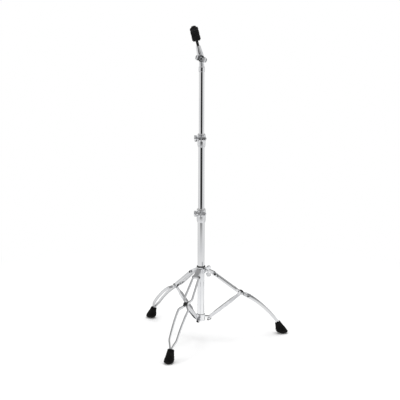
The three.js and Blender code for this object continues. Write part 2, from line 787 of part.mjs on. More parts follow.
function addClamp(name, outerDiameter, innerDiameter, height, clampBottom) {
  const bore = outerDiameter / 2 + gap;
  const outer = bore + clampWall;
  const lugHalf = slotWidth / 2 + lugThickness;
  const seat = lugHalf + gap;
  const sleeveBesideNut = Math.sqrt(outer ** 2 - seat ** 2);
  const screwOut = sleeveBesideNut + gap + nutAcrossFlats / 2;
  const screwUp = height - lugDrop - lugHeight / 2;
  const front = screwOut + lugReach;
  const shell = turned([
    [0, 0],
    [bore + clampFootWall, 0],
    [outer, clampTaper],
    [outer, height - clampEdge],
    [outer - clampEdge, height],
    [0, height],
  ]);
  const lugs = uprightPlate(
    roundedRectangle(0, front, screwUp - lugHeight / 2, screwUp + lugHeight / 2, lugCorner),
    2 * lugHalf,
  );
  const boreCut = disc(bore, -overrun, height + overrun);
  const slotLength = front + overrun;
  const slot = new THREE.BoxGeometry(slotLength, slotWidth, slotDepth + overrun);
  slot.translate(slotLength / 2, 0, height + (overrun - slotDepth) / 2);
  const screwCut = crossHole(screwHoleRadius, lugHalf + overrun).translate(screwOut, 0, screwUp);
  const group = addGroup(stand, clampFacing, clampBottom);
  addPiece(group, name, cut(join(shell, lugs), boreCut, slot, screwCut), 'castChrome');

  const linerInner = innerDiameter / 2 + gap;
  const linerOuter = outerDiameter / 2;
  const linerBottom = clampSocket + gap;
  const flangeBottom = height + gap;
  const liner = turned([
    [linerInner, linerBottom],
    [linerOuter, linerBottom],
    [linerOuter, flangeBottom],
    [outer - linerLip, flangeBottom],
    [outer - linerLip, flangeBottom + linerFlange],
    [linerInner, flangeBottom + linerFlange],
    [linerInner, linerBottom],
  ]);
  const linerSlot = new THREE.BoxGeometry(outer + overrun, slotWidth, 2 * height);
  linerSlot.translate((outer + overrun) / 2, 0, height);
  addPiece(group, `${name}_liner`, cut(liner, linerSlot), 'nylon');

  const nut = acrossY(hexNut()).translate(screwOut, seat + nutThickness, screwUp);
  addPiece(group, `${name}_nut`, nut, 'steel');
  const shankLength = 2 * seat + nutThickness + clampScrewTail;
  const screw = acrossY(wingScrew(shankLength).rotateZ(wingRest)).translate(screwOut, -seat, screwUp);
  addPiece(group, name.replace('clamp', 'wing_screw'), screw, 'castChrome');
}

const lowerClampHeight = 48;
const upperClampHeight = 46;
addClamp('lower_clamp', baseTubeDiameter, middleTubeDiameter, lowerClampHeight, baseTubeTop - clampSocket);
addClamp('upper_clamp', middleTubeDiameter, topTubeDiameter, upperClampHeight, middleTubeTop - clampSocket);

// Tilter: two toothed discs face to face across Y, one on a cap over the top tube, one on the cymbal arm.
// Built about the hub's centre, and shown with its teeth just clear, as when its wing screw is slackened.
const hubOut = -2.3; // from the tube's axis to the hub's centre
const hubRise = 35; // from the top tube's end to the hub's centre
const capWall = 1.1;
const capDepth = 13; // how far the cap reaches down the tube
const capCrown = 5;
const capEdge = 1.5;
const spigotLength = 18;
const toothedRadius = 12;
const toothedInner = 6.6;
const toothedThickness = 9;
const toothHeight = 1.6;
const toothCount = 16;
const tilterNeckRadius = 7; // at the hub, flaring to the cap below
const tilterDepthShare = 0.75;
const armLengthAbove = 45; // from the hub's centre to the arm's top
const armBottomRadius = 12;
const armTopRadius = 8.5;
const armStart = 6;
const rodSocketDepth = 20;
const tilterWingRest = radians(-19); // how its wings stand in the photograph

// A disc about Z with radial teeth on its top face, their crests at z = 0
function toothedDisc() {
  const sides = 2 * toothCount;
  const root = -toothHeight;
  const geometry = ring(toothedInner, toothedRadius, -toothedThickness, 0, sides);
  const position = geometry.attributes.position;
  for (let k = 0; k < position.count; k += 1) {
    if (position.getZ(k) > root / 2) {
      const step = Math.round((Math.atan2(position.getY(k), position.getX(k)) * sides) / fullTurn);
      if (Math.abs(step) % 2 === 1) position.setZ(k, root);
    }
  }
  const floor = ring(screwHoleRadius, toothedInner + gap, -toothedThickness, root, sides);
  return join(geometry, floor);
}

const tilter = addGroup(stand, tilterFacing, topTubeTop + hubRise);
tilter.position.x = hubOut * Math.cos(tilterFacing);
tilter.position.y = hubOut * Math.sin(tilterFacing);
const topTubeRadius = topTubeDiameter / 2;
const capBottom = -hubRise - capDepth;
const capTop = gap - hubRise + capCrown;
const capOuter = topTubeRadius + gap + capWall;
const capShell = turned([
  [0, capBottom],
  [capOuter - capEdge, capBottom],
  [capOuter, capBottom + capEdge],
  [capOuter, capTop - capEdge],
  [capOuter - capEdge, capTop],
  [0, capTop],
]).translate(-hubOut, 0, 0);
const capCavity = disc(topTubeRadius + gap, capBottom - overrun, gap - hubRise).translate(-hubOut, 0, 0);
const spigotRadius = topTubeRadius - tubeWall - gap;
const spigot = disc(spigotRadius, -hubRise - spigotLength, capTop - capEdge).translate(-hubOut, 0, 0);
const neckLean = Math.atan2(-hubOut, hubRise - capCrown);
const neckLength = Math.hypot(hubOut, hubRise - capCrown);
const neck = new THREE.CylinderGeometry(tilterNeckRadius, capOuter - capEdge, neckLength, smallSides)
  .rotateX(quarterTurn)
  .scale(1, tilterDepthShare, 1)
  .translate(0, 0, -neckLength / 2)
  .rotateY(-neckLean);
const sweptRadius = toothedRadius + 2 * gap;
const halfToothGap = gap / 2;
const tilterHalf = toothedThickness + halfToothGap;
const discHole = crossHole(screwHoleRadius, tilterHalf + overrun);
const frontSweep = acrossY(disc(sweptRadius, -halfToothGap, tilterHalf + overrun));
const backSweep = acrossY(disc(sweptRadius, -tilterHalf - overrun, halfToothGap));
const baseDisc = acrossY(toothedDisc()).translate(0, halfToothGap, 0);
const baseCast = cut(join(capShell, neck), frontSweep);
const tilterBase = cut(join(cut(baseCast, capCavity), spigot, baseDisc), discHole);
addPiece(tilter, 'tilter_base', tilterBase, 'castChrome');

const arm = addGroup(tilter, 0, 0);
arm.rotation.y = -tilterLean;
const armConeLength = armLengthAbove - armStart;
const armCone = new THREE.CylinderGeometry(armTopRadius, armBottomRadius, armConeLength, smallSides)
  .rotateX(quarterTurn)
  .scale(1, tilterDepthShare, 1)
  .translate(0, 0, (armLengthAbove + armStart) / 2);
const armDisc = acrossY(toothedDisc()).rotateZ(halfTurn).translate(0, -halfToothGap, 0);
const cymbalRodRadius = 3;
const rodSocketBottom = armLengthAbove - rodSocketDepth;
const rodSocket = disc(cymbalRodRadius + gap, rodSocketBottom, armLengthAbove + overrun, smallSides);
const armSolid = cut(join(cut(armCone, backSweep), armDisc), discHole, rodSocket);
addPiece(arm, 'tilter_arm', armSolid, 'castChrome');

const tilterSeat = tilterHalf + gap;
const tilterNut = acrossY(hexNut()).translate(0, tilterSeat + nutThickness, 0);
addPiece(tilter, 'tilter_nut', tilterNut, 'steel');
const tilterShank = 2 * tilterSeat + nutThickness + clampScrewTail;
const tilterScrew = acrossY(wingScrew(tilterShank).rotateZ(tilterWingRest)).translate(0, -tilterSeat, 0);
addPiece(tilter, 'tilter_wing_screw', tilterScrew, 'castChrome');

// Cymbal seat: a sleeved rod with a washer, two felts, a second washer and a plastic wing nut
const sleeveWall = 1.1;
const sleeveFootWall = 1.6;
const sleeveFootLength = 18;
const seatThickness = 2.5;
const seatRadius = 13;
const feltRadius = 14;
const feltEdge = 1.8;
const lowerFeltHeight = 18;
const upperFeltHeight = 16;
const topWasherThickness = 1.5;
const topWasherRadius = 13;
const rodTail = 2.5; // thread that shows above the wing nut
const rodChamfer = 0.8;
const cymbalWing = {
  hubRadius: 8.5,
  hubLength: 15,
  span: 30,
  earRoot: 0.5,
  earRise: 5,
  earWidth: 9,
  earThickness: 8,
  earEnd: 11,
};

const sleeveInner = cymbalRodRadius + gap;
const sleeveOuter = sleeveInner + sleeveWall;
const sleeveFoot = sleeveInner + sleeveFootWall;
const sleeveBottom = armLengthAbove + gap;
const seatBottom = sleeveBottom + sleeveFootLength;
const lowerFeltBottom = seatBottom + seatThickness + 2 * gap;
const upperFeltBottom = lowerFeltBottom + lowerFeltHeight + gap;
const topWasherBottom = upperFeltBottom + upperFeltHeight + gap;
const wingNutBottom = topWasherBottom + topWasherThickness + gap;
const rodTop = wingNutBottom + cymbalWing.hubLength + rodTail;

function felt(bottom, height) {
  const top = bottom + height;
  const hole = sleeveOuter + gap;
  return turned([
    [hole, bottom],
    [feltRadius - feltEdge, bottom],
    [feltRadius, bottom + feltEdge],
    [feltRadius, top - feltEdge],
    [feltRadius - feltEdge, top],
    [hole, top],
    [hole, bottom],
  ]);
}

addPiece(arm, 'cymbal_rod', turned([
  [0, rodSocketBottom + gap],
  [cymbalRodRadius, rodSocketBottom + gap],
  [cymbalRodRadius, rodTop - rodChamfer],
  [cymbalRodRadius - rodChamfer, rodTop],
  [0, rodTop],
], smallSides), 'steel');
addPiece(arm, 'cymbal_sleeve', turned([
  [sleeveInner, sleeveBottom],
  [sleeveFoot, sleeveBottom],
  [sleeveFoot, seatBottom],
  [sleeveOuter, seatBottom],
  [sleeveOuter, topWasherBottom - gap],
  [sleeveInner, topWasherBottom - gap],
  [sleeveInner, sleeveBottom],
], smallSides), 'nylon');
const seatWasher = ring(sleeveOuter + gap, seatRadius, seatBottom + gap, seatBottom + gap + seatThickness);
addPiece(arm, 'seat_washer', seatWasher, 'blackSteel');
addPiece(arm, 'lower_felt', felt(lowerFeltBottom, lowerFeltHeight), 'felt');
addPiece(arm, 'upper_felt', felt(upperFeltBottom, upperFeltHeight), 'felt');
const topWasher = ring(sleeveInner, topWasherRadius, topWasherBottom, topWasherBottom + topWasherThickness);
addPiece(arm, 'top_washer', topWasher, 'blackSteel');
const wingNutBore = disc(sleeveInner, -overrun, cymbalWing.hubLength + overrun, smallSides);
const wingNut = cut(wingHead(cymbalWing), wingNutBore).translate(0, 0, wingNutBottom);
addPiece(arm, 'cymbal_wing_nut', wingNut, 'nylon');

// The origin lies under the middle of the stand's own box, on the floor
const root = new THREE.Group();
root.add(stand);
root.updateMatrixWorld(true);
const standBox = new THREE.Box3().setFromObject(stand, true);
const standMiddle = standBox.getCenter(new THREE.Vector3());
stand.position.set(-standMiddle.x, -standMiddle.y, -standBox.min.z);

export default root;
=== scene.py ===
# Looks of the straight cymbal stand: chrome tubes and legs, cast fittings, rubber feet and felts
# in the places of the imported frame. Blender's units are metres; a piece's own sizes are in millimetres.
import bpy
import bmesh
import json
from math import cos, pi, radians, sin, sqrt
from mathutils import Matrix, Vector


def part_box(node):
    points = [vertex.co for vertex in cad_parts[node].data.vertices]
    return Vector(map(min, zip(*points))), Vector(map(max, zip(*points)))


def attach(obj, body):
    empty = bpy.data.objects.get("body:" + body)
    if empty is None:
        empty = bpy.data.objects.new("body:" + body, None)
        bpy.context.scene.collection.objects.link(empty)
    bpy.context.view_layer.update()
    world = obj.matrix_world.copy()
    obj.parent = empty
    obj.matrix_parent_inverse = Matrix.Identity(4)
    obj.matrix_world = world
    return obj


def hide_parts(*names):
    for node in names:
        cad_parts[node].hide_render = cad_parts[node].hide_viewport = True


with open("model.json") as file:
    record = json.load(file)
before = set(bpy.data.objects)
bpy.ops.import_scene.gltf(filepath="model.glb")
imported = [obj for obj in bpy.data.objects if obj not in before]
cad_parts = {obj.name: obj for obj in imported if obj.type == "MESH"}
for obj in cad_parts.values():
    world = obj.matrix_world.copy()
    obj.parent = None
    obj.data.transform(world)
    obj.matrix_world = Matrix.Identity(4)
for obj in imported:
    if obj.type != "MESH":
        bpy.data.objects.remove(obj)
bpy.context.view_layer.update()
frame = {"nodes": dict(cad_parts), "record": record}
mm = 0.001
scene = bpy.context.scene


# Shader values with plain arithmetic: each operator adds its Math node
class Value:
    def __init__(self, look, socket):
        self.look = look
        self.socket = socket

    def maths(self, operation, other=None, swapped=False):
        pair = [self] if other is None else [other, self] if swapped else [self, other]
        node = self.look.node("ShaderNodeMath", {"operation": operation}, dict(enumerate(pair)))
        return Value(self.look, node.outputs[0])

    def __add__(self, other):
        return self.maths("ADD", other)

    def __radd__(self, other):
        return self.maths("ADD", other)

    def __sub__(self, other):
        return self.maths("SUBTRACT", other)

    def __rsub__(self, other):
        return self.maths("SUBTRACT", other, True)

    def __mul__(self, other):
        return self.maths("MULTIPLY", other)

    def __rmul__(self, other):
        return self.maths("MULTIPLY", other)

    def __pow__(self, other):
        return self.maths("POWER", other)

    def __abs__(self):
        return self.maths("ABSOLUTE")


# A material, or the world: nodes are added by kind, with settings and with socket values or links
class Look:
    def __init__(self, name, isWorld=False):
        self.block = bpy.data.worlds.new(name) if isWorld else bpy.data.materials.new(name)
        self.block.use_nodes = True
        self.tree = self.block.node_tree
        self.tree.nodes.clear()
        self.output = self.tree.nodes.new("ShaderNodeOutputWorld" if isWorld else "ShaderNodeOutputMaterial")

    def node(self, kind, settings, sockets):
        node = self.tree.nodes.new(kind)
        for key, value in settings.items():
            setattr(node, key, value)
        for key, value in sockets.items():
            self.feed(node.inputs[key], value)
        return node

    def feed(self, socket, value):
        if isinstance(value, Value):
            self.tree.links.new(value.socket, socket)
        elif isinstance(value, bpy.types.NodeSocket):
            self.tree.links.new(value, socket)
        else:
            socket.default_value = value

    def place(self):
        return self.node("ShaderNodeTexCoord", {}, {}).outputs["Object"]

    def coordinates(self):
        split = self.node("ShaderNodeSeparateXYZ", {}, {"Vector": self.place()})
        return [Value(self, output) for output in split.outputs]

    def stretched(self, scale):
        return self.node("ShaderNodeMapping", {}, {"Vector": self.place(), "Scale": scale}).outputs[0]

    def noise(self, scale, detail=3, roughness=0.5, vector=None, distortion=0):
        sockets = {
            "Vector": vector or self.place(), "Scale": scale, "Detail": detail, "Roughness": roughness,
            "Distortion": distortion,
        }
        return Value(self, self.node("ShaderNodeTexNoise", {}, sockets).outputs["Fac"])

    # Eased from one range to another, and held at its ends
    def remap(self, value, low, high, toLow, toHigh):
        sockets = {"Value": value, "From Min": low, "From Max": high, "To Min": toLow, "To Max": toHigh}
        node = self.node("ShaderNodeMapRange", {"interpolation_type": "SMOOTHSTEP"}, sockets)
        return Value(self, node.outputs[0])

    def mix(self, factor, first, second):
        node = self.node("ShaderNodeMix", {"data_type": "RGBA"}, {"Factor": factor})
        self.feed(node.inputs[6], first)
        self.feed(node.inputs[7], second)
        return node.outputs[2]

    def bump(self, height, strength, distance):
        sockets = {"Height": height, "Strength": strength, "Distance": distance}
        return self.node("ShaderNodeBump", {}, sockets).outputs[0]

    # 1 on the outward edges of a piece, where it wears
    def edges(self):
        pointiness = self.node("ShaderNodeNewGeometry", {}, {}).outputs["Pointiness"]
        return self.remap(pointiness, 0.52, 0.6, 0, 1)

    def surface(self, **sockets):
        named = {key.replace("_", " "): value for key, value in sockets.items()}
        return self.shown(self.node("ShaderNodeBsdfPrincipled", {}, named))

    def shown(self, shader):
        self.tree.links.new(shader.outputs[0], self.output.inputs["Surface"])
        return self.block


def grey(level, warmth=0.0):
    return (level + warmth, level, level - warmth, 1)


# Polished chrome on tube: near mirror, with faint haze, dust and hair scratches along its length. A level
# below 1 darkens the whole colour, as painted shade
def chromeLook(name, level):
    look = Look(name)
    haze = look.noise(9, 4, 0.55)
    hairs = look.noise(60, 2, 0.6, look.stretched((9, 9, 0.35)))
    dust = look.noise(420, 2)
    clear = (0.86 * level, 0.865 * level, 0.875 * level, 1)
    hazy = (0.79 * level, 0.80 * level, 0.82 * level, 1)
    tone = look.mix(look.remap(haze, 0.35, 0.75, 0, 1), clear, hazy)
    rough = 0.035 + look.remap(haze, 0.45, 0.75, 0, 0.05) + look.remap(hairs, 0.6, 0.75, 0, 0.05)
    rough = rough + look.remap(dust, 0.68, 0.78, 0, 0.12)
    return look.surface(
        Base_Color=tone, Metallic=1.0, Roughness=rough, Normal=look.bump(hairs, 0.05, 0.00004)
    )


# Chrome over a casting or pressing: a slight orange peel, duller in the hollows
def castLook(name, dullness):
    look = Look(name)
    peel = look.noise(260, 2, 0.5)
    lumps = look.noise(48, 2, 0.5)
    pores = look.noise(900, 1, 0.5)
    tone = look.mix(look.remap(lumps, 0.35, 0.7, 0, 1), (0.84, 0.845, 0.855, 1), (0.72, 0.73, 0.75, 1))
    rough = dullness + look.remap(lumps, 0.4, 0.75, 0, 0.08) + look.remap(pores, 0.64, 0.75, 0, 0.12)
    height = peel * 0.6 + lumps * 0.8
    return look.surface(
        Base_Color=tone, Metallic=1.0, Roughness=rough, Normal=look.bump(height, 0.18, 0.00025)
    )


# Plated steel of rivets, nuts and the threaded rod: brushed and a little tarnished
def steelLook():
    look = Look("steel")
    brush = look.noise(900, 2, 0.6)
    stain = look.noise(120, 3, 0.6)
    tone = look.mix(look.remap(stain, 0.4, 0.75, 0, 1), (0.66, 0.67, 0.68, 1), (0.42, 0.42, 0.43, 1))
    rough = 0.22 + look.remap(brush, 0.3, 0.8, 0, 0.16)
    return look.surface(
        Base_Color=tone, Metallic=1.0, Roughness=rough, Normal=look.bump(brush, 0.1, 0.00005)
    )


# Black oxide on steel washers and pins, rubbed brighter along the edges
def blackSteelLook():
    look = Look("black_steel")
    grain = look.noise(700, 3, 0.6)
    wear = look.edges() * look.remap(grain, 0.4, 0.65, 0.05, 0.6)
    tone = look.mix(wear, grey(0.007), grey(0.09))
    rough = 0.3 + look.remap(grain, 0.3, 0.75, 0, 0.22)
    return look.surface(
        Base_Color=tone, Roughness=rough, Specular_IOR_Level=0.22, Normal=look.bump(grain, 0.12, 0.00006)
    )


# Moulded nylon: fine spark-eroded grain, scuffed in patches and on its edges
def nylonLook(name, dark, scuffed, worn):
    look = Look(name)
    grain = look.noise(1500, 2, 0.6)
    scuff = look.noise(160, 4, 0.65)
    wear = look.edges() * look.remap(scuff, 0.45, 0.7, 0, 0.55)
    tone = look.mix(look.remap(scuff, 0.5, 0.75, 0, 0.5), grey(dark), grey(scuffed))
    tone = look.mix(wear, tone, grey(worn))
    rough = 0.38 + look.remap(scuff, 0.35, 0.75, 0, 0.2)
    return look.surface(
        Base_Color=tone, Roughness=rough, Specular_IOR_Level=0.2, Normal=look.bump(grain, 0.22, 0.00006)
    )


# Moulded rubber of the feet: matt, with bloom, dust in the grooves and floor scuffs near the tread
def rubberLook():
    look = Look("rubber")
    height = look.coordinates()[2]
    grain = look.noise(1300, 3, 0.6)
    bloom = look.noise(70, 4, 0.6)
    grit = look.noise(520, 2, 0.7)
    tread = look.remap(height, 0.0, 0.012, 1, 0)
    tone = look.mix(look.remap(bloom, 0.42, 0.72, 0, 1), grey(0.003), grey(0.009, 0.0006))
    tone = look.mix(tread * look.remap(grit, 0.45, 0.7, 0.05, 0.6), tone, grey(0.04, 0.004))
    rough = 0.58 + look.remap(bloom, 0.35, 0.75, 0, 0.22)
    relief = grain * 0.5 + grit * 0.5
    return look.surface(
        Base_Color=tone, Roughness=rough, Specular_IOR_Level=0.1, Normal=look.bump(relief, 0.35, 0.00012)
    )


# Pressed black wool felt: matted fibres, lint and a soft sheen
def feltLook():
    look = Look("felt")
    matted = look.noise(330, 5, 0.75)
    fibres = look.noise(1500, 4, 0.8, look.stretched((1.0, 1.0, 0.45)))
    swirl = look.noise(800, distortion=1.4)
    lint = look.remap(swirl, 0.66, 0.76, 0, 0.5)
    tone = look.mix(look.remap(matted, 0.35, 0.7, 0, 1), grey(0.005), grey(0.016))
    tone = look.mix(lint, tone, grey(0.05, 0.002))
    relief = matted * 0.8 + fibres * 0.5
    return look.surface(
        Base_Color=tone, Roughness=0.95, Specular_IOR_Level=0.05, Sheen_Weight=0.06, Sheen_Roughness=0.5,
        Sheen_Tint=(0.5, 0.5, 0.52, 1), Normal=look.bump(relief, 0.75, 0.0005)
    )


looks = {
    "chrome": chromeLook("chrome", 1),
    # The legs' chrome is the tube's chrome with its colour darkened: painted shade
    "painted_shade_leg_chrome": chromeLook("painted_shade_leg_chrome", 0.83),
    "cast_chrome": castLook("cast_chrome", 0.13),
    "tumbled_chrome": castLook("tumbled_chrome", 0.26),
    "pressed_chrome": castLook("pressed_chrome", 0.34),
    "steel": steelLook(),
    "black_steel": blackSteelLook(),
    "nylon": nylonLook("nylon", 0.008, 0.018, 0.06),
    "pale_nylon": nylonLook("pale_nylon", 0.6, 0.5, 0.7),
    "rubber": rubberLook(),
    "felt": feltLook(),
}
print("looks made")

# The places and bodies that the frame gives, and the shape values shared by several pieces
tubeLow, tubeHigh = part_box("base_tube")
axisX = (tubeLow.x + tubeHigh.x) / 2
axis = Matrix.Translation((axisX, 0, 0))
nodeBody = {node: body for body, nodes in frame["record"]["behaviour"]["bodies"].items() for node in nodes}
fineSides = 96
mediumSides = 48
smallSides = 32
gap = 0.3  # what neighbours keep between them


# A bmesh made an object of the scene, with its place in its mesh
def newObject(name, mesh, material):
    data = bpy.data.meshes.new(name)
    mesh.to_mesh(data)
    mesh.free()
    made = bpy.data.objects.new(name, data)
    scene.collection.objects.link(made)
    data.materials.append(material)
    return made


# A piece that stands for a node and rides on the node's body
def newPiece(node, ending, mesh, look):
    piece = newObject(f"{node}_{ending}", mesh, looks[look])
    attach(piece, nodeBody[node])
    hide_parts(node)
    return piece


# Smooth shading that keeps wide faces flat beside their rounded edges
def smooth(piece, angle=35):
    for face in piece.data.polygons:
        face.use_smooth = True
    piece.data.set_sharp_from_angle(angle=radians(angle))
    weighted = piece.modifiers.new("wide faces lead", "WEIGHTED_NORMAL")
    weighted.keep_sharp = True


# An outline of radius and height, turned about Z. One that starts off the axis is closed to a ring
def spun(outline, sides=fineSides):
    mesh = bmesh.new()
    points = [mesh.verts.new((radius, 0, height)) for radius, height in outline]
    pairs = list(zip(points, points[1:]))
    if outline[0][0] > 0:
        pairs.append((points[-1], points[0]))
    edges = [mesh.edges.new(pair) for pair in pairs]
    bmesh.ops.spin(
        mesh, geom=points + edges, cent=(0, 0, 0), axis=(0, 0, 1), angle=2 * pi, steps=sides, use_merge=True
    )
    bmesh.ops.remove_doubles(mesh, verts=mesh.verts, dist=1e-7)
    bmesh.ops.recalc_face_normals(mesh, faces=mesh.faces)
    return mesh


def turnedPiece(node, ending, outline, place, look, sides=fineSides):
    mesh = spun([(radius * mm, height * mm) for radius, height in outline], sides)
    mesh.transform(place)
    smooth(newPiece(node, ending, mesh, look))


# A ring's outline, its outer corners cut off, or rounded by one more point a share of the way in
def ringOutline(inner, outer, bottom, top, edge, share=0):
    corner = [(edge, 0), (share * edge, share * edge), (0, edge)] if share else [(edge, 0), (0, edge)]
    lower = [(outer - inward, bottom + up) for inward, up in corner]
    upper = [(outer - inward, top - down) for inward, down in reversed(corner)]
    return [(inner, bottom)] + lower + upper + [(inner, top)]


# Rings of edges joined to one closed skin
def lofted(mesh, rings, sides):
    for first, second in zip(rings, rings[1:]):
        bmesh.ops.bridge_loops(mesh, edges=first + second)
    bmesh.ops.holes_fill(mesh, edges=rings[0] + rings[-1], sides=sides)
    bmesh.ops.recalc_face_normals(mesh, faces=mesh.faces)


def ringEdges(verts):
    return list({edge for vert in verts for edge in vert.link_edges})


# Tubes with rolled-in ends
tube = {
    "radius": {"base_tube": 12.7, "middle_tube": 11.1, "top_tube": 9.55},
    "wall": 1.2,
    "edge": 0.45,
    "edgeShare": 0.3,
}
for node, radius in tube["radius"].items():
    low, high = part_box(node)
    outline = ringOutline(
        radius - tube["wall"], radius, low.z / mm, high.z / mm, tube["edge"], tube["edgeShare"]
    )
    turnedPiece(node, "skin", outline, axis, "chrome")
print("tubes made")

# Legs: rods of flat oval section swept through the same bends as the frame's
leg = {
    "collar": (50, 244),
    "waist": (151.4, 165),
    "end": (303, 29),
    "kneeFall": radians(16),
    "kneeReach": 60,
    "ankleFall": radians(70),
    "ankleReach": 36,
    "halfHeight": 5.6,
    "halfThickness": 2.9,
    "squareness": 0.62,
    "eye": 6.5,
    "eyeHalf": 2.0,
    "eyeFlat": 8.0,
    "eyeNeck": 8.0,
    "bend": 5.5,
    "sides": 28,
    "step": 1.6,
    "tipRings": 8,
    "tipReach": 0.995,
    "sharp": 50,
}
collarPoint = Vector(leg["collar"])
waistPoint = Vector(leg["waist"])
endPoint = Vector(leg["end"])
armVector = waistPoint - collarPoint
armLength = armVector.length
kneePoint = waistPoint + leg["kneeReach"] * Vector((cos(leg["kneeFall"]), -sin(leg["kneeFall"])))
ankleVector = Vector((cos(leg["ankleFall"]), -sin(leg["ankleFall"])))
anklePoint = endPoint - leg["ankleReach"] * ankleVector


# The lower leg's curve, in outward reach and height
def curvePoint(share):
    rest = 1 - share
    first = rest ** 3 * waistPoint + 3 * rest ** 2 * share * kneePoint
    return first + 3 * rest * share ** 2 * anklePoint + share ** 3 * endPoint


curveSteps = 400
curveLengths = [0.0]
for k in range(curveSteps):
    run = (curvePoint((k + 1) / curveSteps) - curvePoint(k / curveSteps)).length
    curveLengths.append(curveLengths[-1] + run)
lowerLength = curveLengths[-1]
legLength = armLength + lowerLength


# The rod's line at a distance from the collar's pivot
def legPoint(station):
    if station <= armLength:
        return collarPoint + armVector * (station / armLength)
    past = station - armLength
    if past >= lowerLength:
        return endPoint + ankleVector * (past - lowerLength)
    k = max(index for index in range(curveSteps) if curveLengths[index] <= past)
    part = (past - curveLengths[k]) / (curveLengths[k + 1] - curveLengths[k])
    return curvePoint((k + part) / curveSteps)


# Distance along the leg, and how far each rod is from the leg's middle there
spreads = [
    (0, 11.5), (16, 11.5), (armLength - 24, 15.5), (armLength - 10, 5.4), (armLength + 10, 5.4),
    (armLength + 27, 19), (legLength - 49, 13.8), (legLength - 23, 3.4), (legLength + 5.5, 3.4),
]


# How far a line has turned to its next slope, eased in and out about the bend
def easedRamp(past):
    bend = leg["bend"]
    if past <= -bend:
        return 0
    return past if past >= bend else (past + bend) ** 2 / (4 * bend)


# Half the distance between the two rods, with rounded bends
def spreadAt(station):
    spread = spreads[0][1]
    slope = 0
    for (here, half), (there, nextHalf) in zip(spreads, spreads[1:]):
        following = (nextHalf - half) / (there - here)
        spread += (following - slope) * easedRamp(station - here)
        slope = following
    return spread


def rodCentre(station, side):
    point = legPoint(station)
    return Vector((point.x, side * spreadAt(station), point.y))


def smoothstep(value, low, high):
    share = min(max((value - low) / (high - low), 0), 1)
    return share * share * (3 - 2 * share)


# Half-height and half-thickness: oval, or pressed flat about the two pivot eyes
def rodSection(station):
    fromEye = min(abs(station), abs(station - armLength))
    eyeHalf = sqrt(max(leg["eye"] ** 2 - fromEye ** 2, 0))
    flatness = 1 - smoothstep(fromEye, leg["eyeFlat"], leg["eyeFlat"] + leg["eyeNeck"])
    height = eyeHalf if station < 0 else max(eyeHalf, leg["halfHeight"])
    return height, leg["halfThickness"] + (leg["eyeHalf"] - leg["halfThickness"]) * flatness


# Squares up a unit circle towards a bar with rounded corners
def squareUp(verts):
    for vert in verts:
        for k in (0, 1):
            size = abs(vert.co[k]) ** leg["squareness"]
            vert.co[k] = size if vert.co[k] > 0 else -size


# One rod: rings of the flat oval section set square to its line, joined and closed at both ends
def rodMesh(side):
    mesh = bmesh.new()
    count = round(legLength / leg["step"])
    tipRings = leg["tipRings"]
    stations = [-leg["eye"] * cos(pi / 2 * k / tipRings) for k in range(tipRings)]
    stations[0] = -leg["eye"] * leg["tipReach"]
    stations += [legLength * k / count for k in range(count + 1)]
    rings = []
    for station in stations:
        ahead = rodCentre(station + leg["halfHeight"], side)
        tangent = (ahead - rodCentre(station - leg["halfHeight"], side)).normalized()
        normal = Vector((0, 1, 0)).cross(tangent).normalized()
        across = tangent.cross(normal)
        height, thickness = rodSection(station)
        centre = rodCentre(station, side)
        turn = Matrix((normal, across, tangent)).transposed().to_4x4()
        made = bmesh.ops.create_circle(mesh, segments=leg["sides"], radius=1)
        squareUp(made["verts"])
        squashing = Matrix.Diagonal((height * mm, min(thickness, height) * mm, 1, 1))
        bmesh.ops.transform(
            mesh, verts=made["verts"], matrix=Matrix.Translation(centre * mm) @ turn @ squashing
        )
        rings.append(ringEdges(made["verts"]))
    lofted(mesh, rings, leg["sides"])
    return mesh


def legPlace(number):
    return axis @ Matrix.Rotation(2 * pi * (number - 1) / 3, 4, "Z")


rods = {"right": rodMesh(-1), "left": rodMesh(1)}
for number in (1, 2, 3):
    for label, rodShape in rods.items():
        mesh = rodShape.copy()
        mesh.transform(legPlace(number))
        # The rods take the darkened chrome, painted shade on the legs
        smooth(newPiece(f"leg_{number}_{label}_rod", "bent", mesh, "painted_shade_leg_chrome"), leg["sharp"])
print("rods made")

# Feet: ribbed rubber boots, lofted from the collar round the rods to the tread
foot = {
    "top": (294, 45),
    "baseOut": 314.5,
    "tilt": radians(30),
    "topHalf": (10.4, 12),
    "baseHalf": (23.5, 18.5),
    "groove": 1.1,
    "grooveShape": 0.6,
    "firstGroove": 0.40,
    "lastGroove": 0.70,
    "grooves": 3,
    "sides": 56,
    "rings": 56,
    "sharp": 60,
}
# Share of the way down, growth from top to base, and how far the toe, the heel and the sides still reach
footRows = [
    (0, -0.2, 1, 1, 1), (0.02, 0.02, 1, 1, 1), (0.16, 0.12, 1, 1, 1), (0.34, 0.32, 1, 1, 1),
    (0.5, 0.58, 1, 1, 1), (0.62, 0.75, 1, 0.94, 1), (0.74, 0.89, 1, 0.86, 1), (0.85, 1, 1, 0.74, 0.95),
    (0.91, 1, 0.86, 0.6, 0.86), (0.96, 1, 0.62, 0.38, 0.66), (1, 1, 0.3, 0.06, 0.28),
]


def between(low, high, share):
    return low + (high - low) * share


def footAt(down):
    above, below = next(rows for rows in zip(footRows, footRows[1:]) if down <= rows[1][0])
    share = (down - above[0]) / (below[0] - above[0])
    return [between(first, second, share) for first, second in zip(above[1:], below[1:])]


